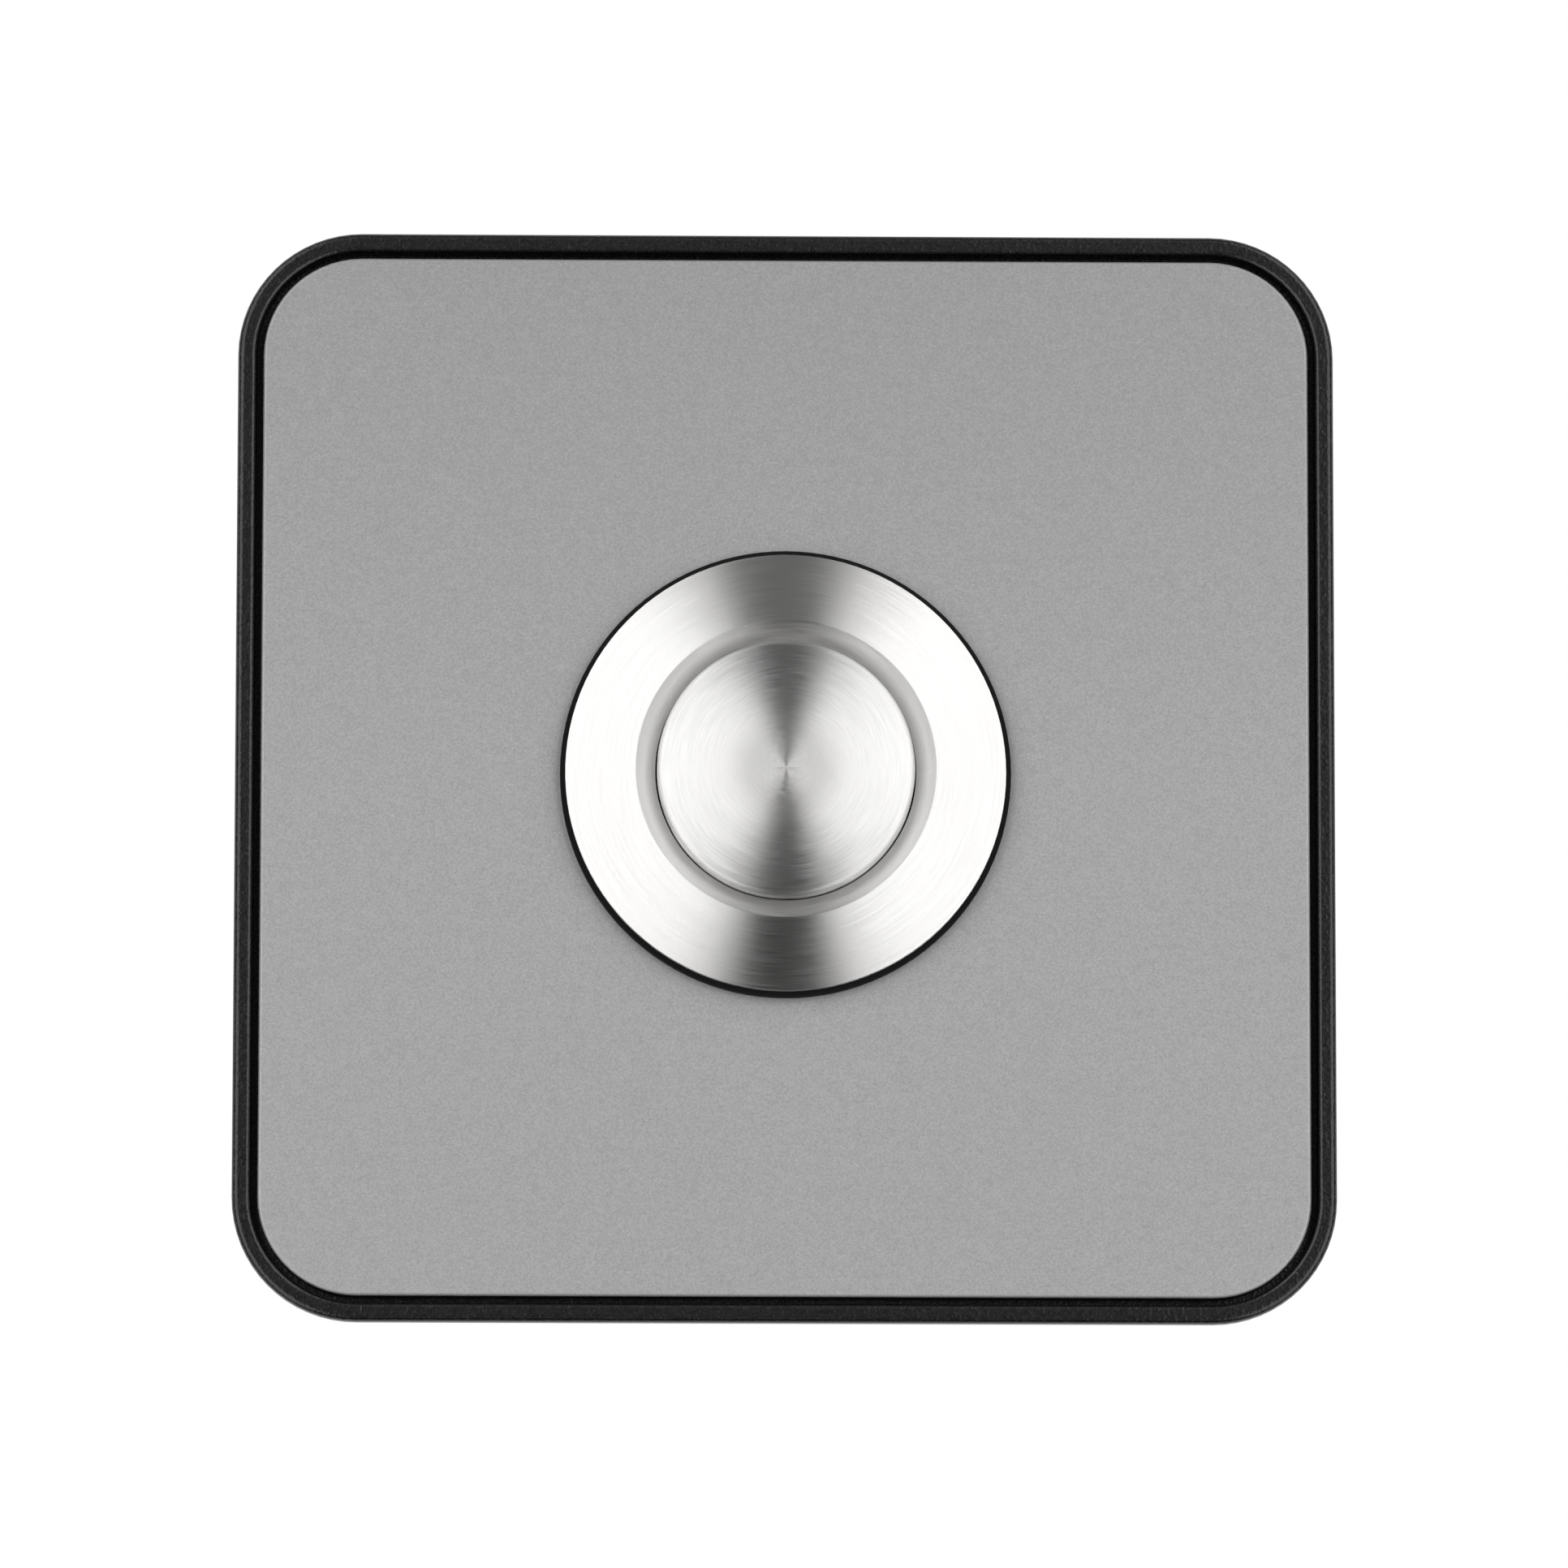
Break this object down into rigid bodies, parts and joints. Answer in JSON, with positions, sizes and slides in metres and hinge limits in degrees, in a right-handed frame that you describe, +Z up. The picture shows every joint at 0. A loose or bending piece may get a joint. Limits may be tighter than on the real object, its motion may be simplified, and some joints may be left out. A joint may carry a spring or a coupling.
{
  "type": "doorbell push button",
  "caption": "Square surface-mounted doorbell push: black moulded frame, satin metal face plate and a raised turned steel button that is pressed to close a sprung contact.",
  "frame": {"origin": "centre of the wall plate's back face, on the wall, behind the middle of the button", "axes": "+Z up the wall, +Y into the wall, so the front faces -Y and the button slides along Y; +X to the right as seen from the front"},
  "size_m": [0.062, 0.0202, 0.062],
  "materials": {
    "black_plastic": "fine moulded grain",
    "satin_plate": "fine satin blast, clear anodised",
    "turned_steel": "lathe-turned, fine rings",
    "black_rubber": "matt",
    "insulator": "plain moulded",
    "contact_brass": "rolled strip",
    "plated_steel": "bright zinc plating"
  },
  "bodies": {
    "bell_base": {"front_housing": "black_plastic", "face_plate": "satin_plate", "flange_gasket": "black_rubber", "button_body": "turned_steel", "lock_washer": "plated_steel", "lock_nut": "plated_steel", "contact_block": "insulator", "retaining_ring": "plated_steel", "fixed_contact_left": "contact_brass", "fixed_contact_right": "contact_brass", "terminal_screws": "plated_steel", "terminal_clamps": "plated_steel", "wall_plate": "black_plastic", "cable_grommet": "black_rubber", "securing_screw": "plated_steel", "securing_nut": "plated_steel", "return_spring": "plated_steel"},
    "button": {"button_cap": "turned_steel", "cap_seal": "black_rubber", "plunger": "insulator", "contact_bridge": "contact_brass"}
  },
  "joints": [
    {"name": "button_press", "type": "slide", "parent": "bell_base", "child": "button", "axis": [0, 1, 0], "range_m": [0, 0.0012], "stiffness_N_per_m": 1800, "springref_m": -0.0012, "deforming": ["return_spring"]}
  ]
}
